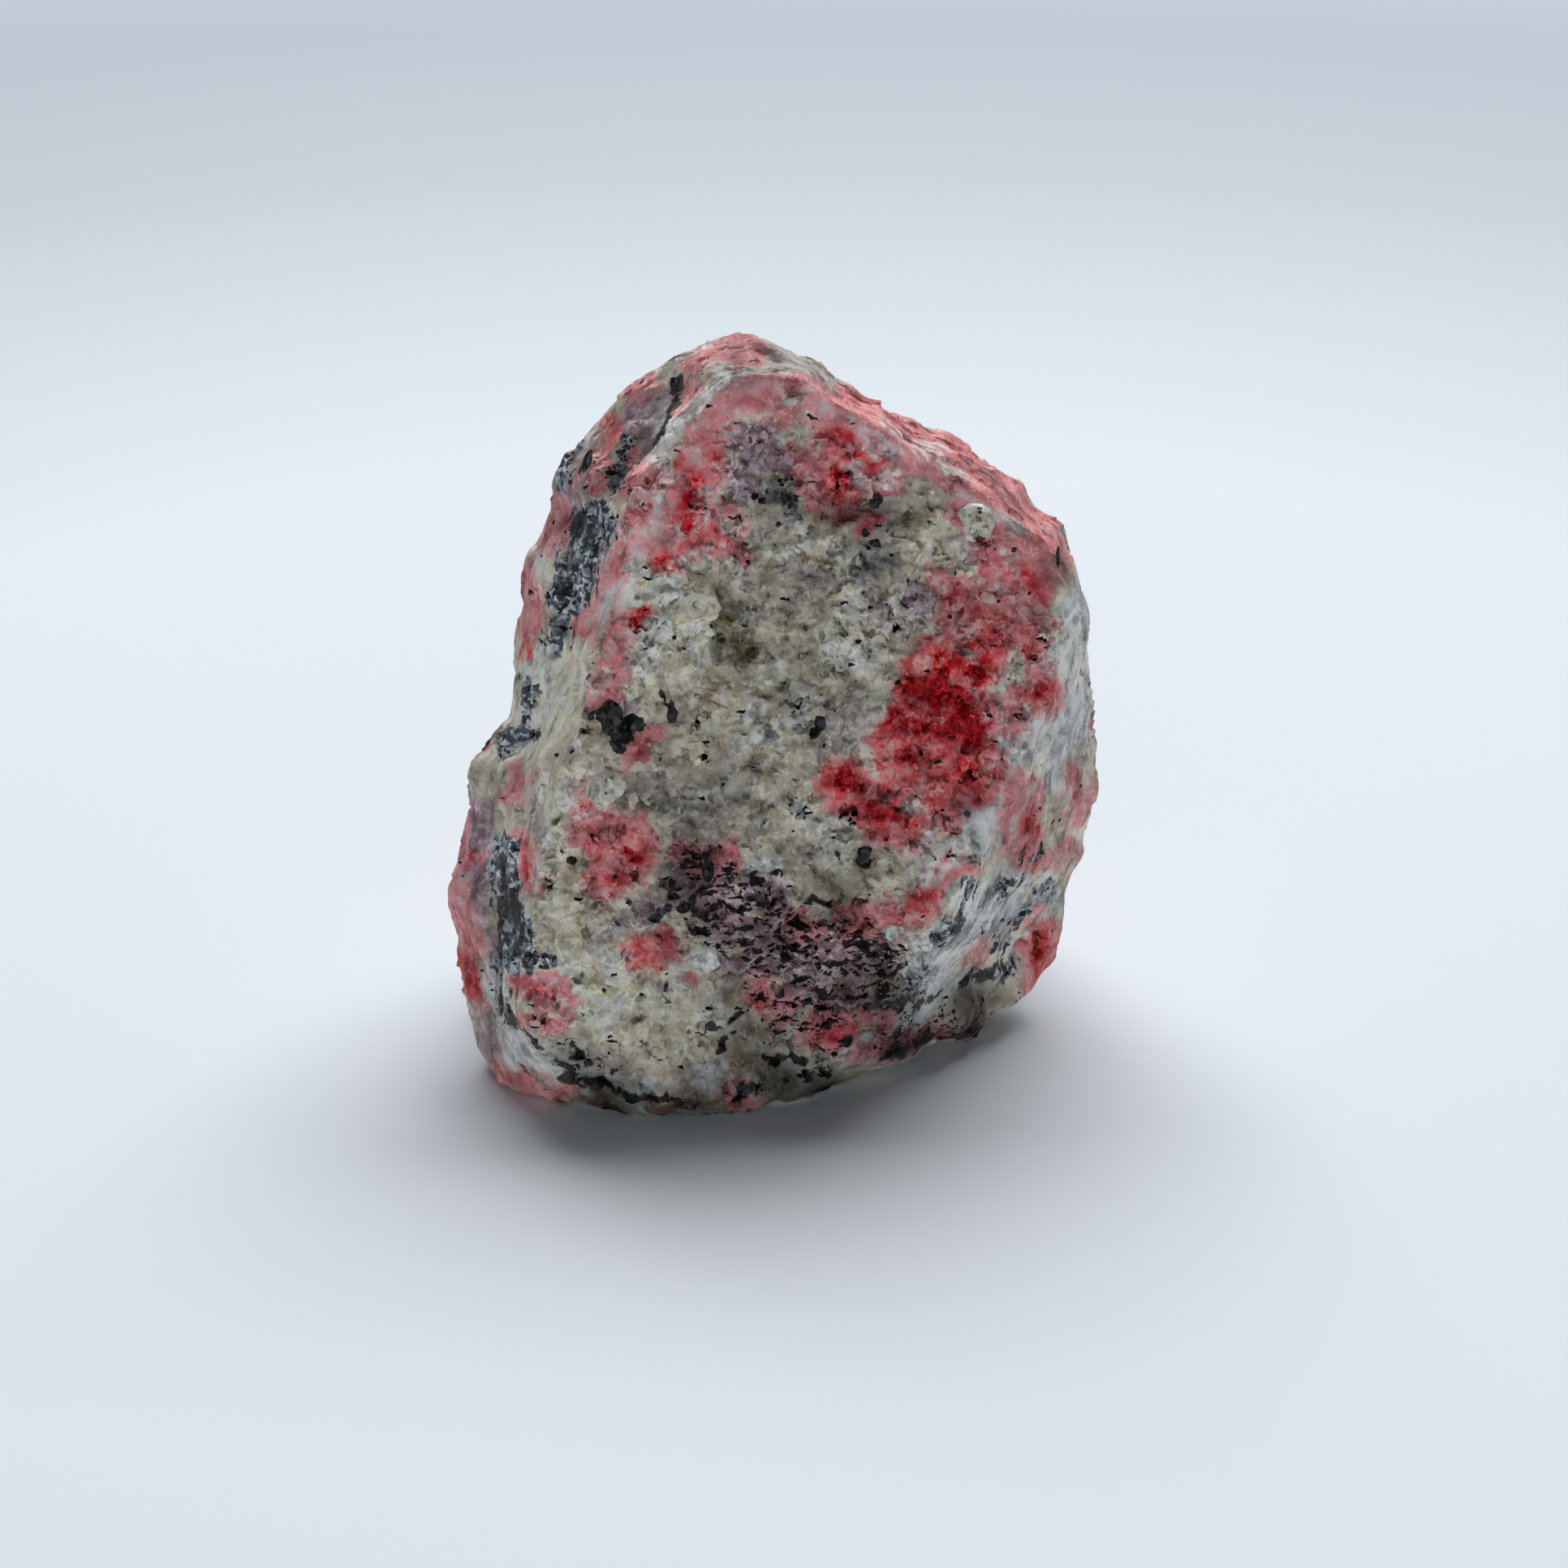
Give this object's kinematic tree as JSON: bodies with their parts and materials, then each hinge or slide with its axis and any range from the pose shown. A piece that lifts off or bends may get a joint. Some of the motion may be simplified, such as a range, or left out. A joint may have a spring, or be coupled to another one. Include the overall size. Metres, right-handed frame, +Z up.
{
  "type": "rhodonite specimen",
  "caption": "Hand-sized rough mineral specimen: a layered pink and grey-green stone with a broad lumpy front face, streaked flanks and a flat break that it stands on.",
  "frame": {"origin": "middle of the stone's outline as seen from above, at the height of the flat break that it stands on", "axes": "+Z up, its longest extent; the broad front face looks towards -Y, which is the shortest extent; +X to the right seen from the front"},
  "size_m": [0.0552, 0.0454, 0.0597],
  "materials": {
    "stone": "rough broken rock: pink to deep red patches in sugary white and grey-green feldspar, with small glossy black crystals"
  },
  "bodies": {
    "root": {"rhodonite_stone": "stone"}
  },
  "joints": []
}
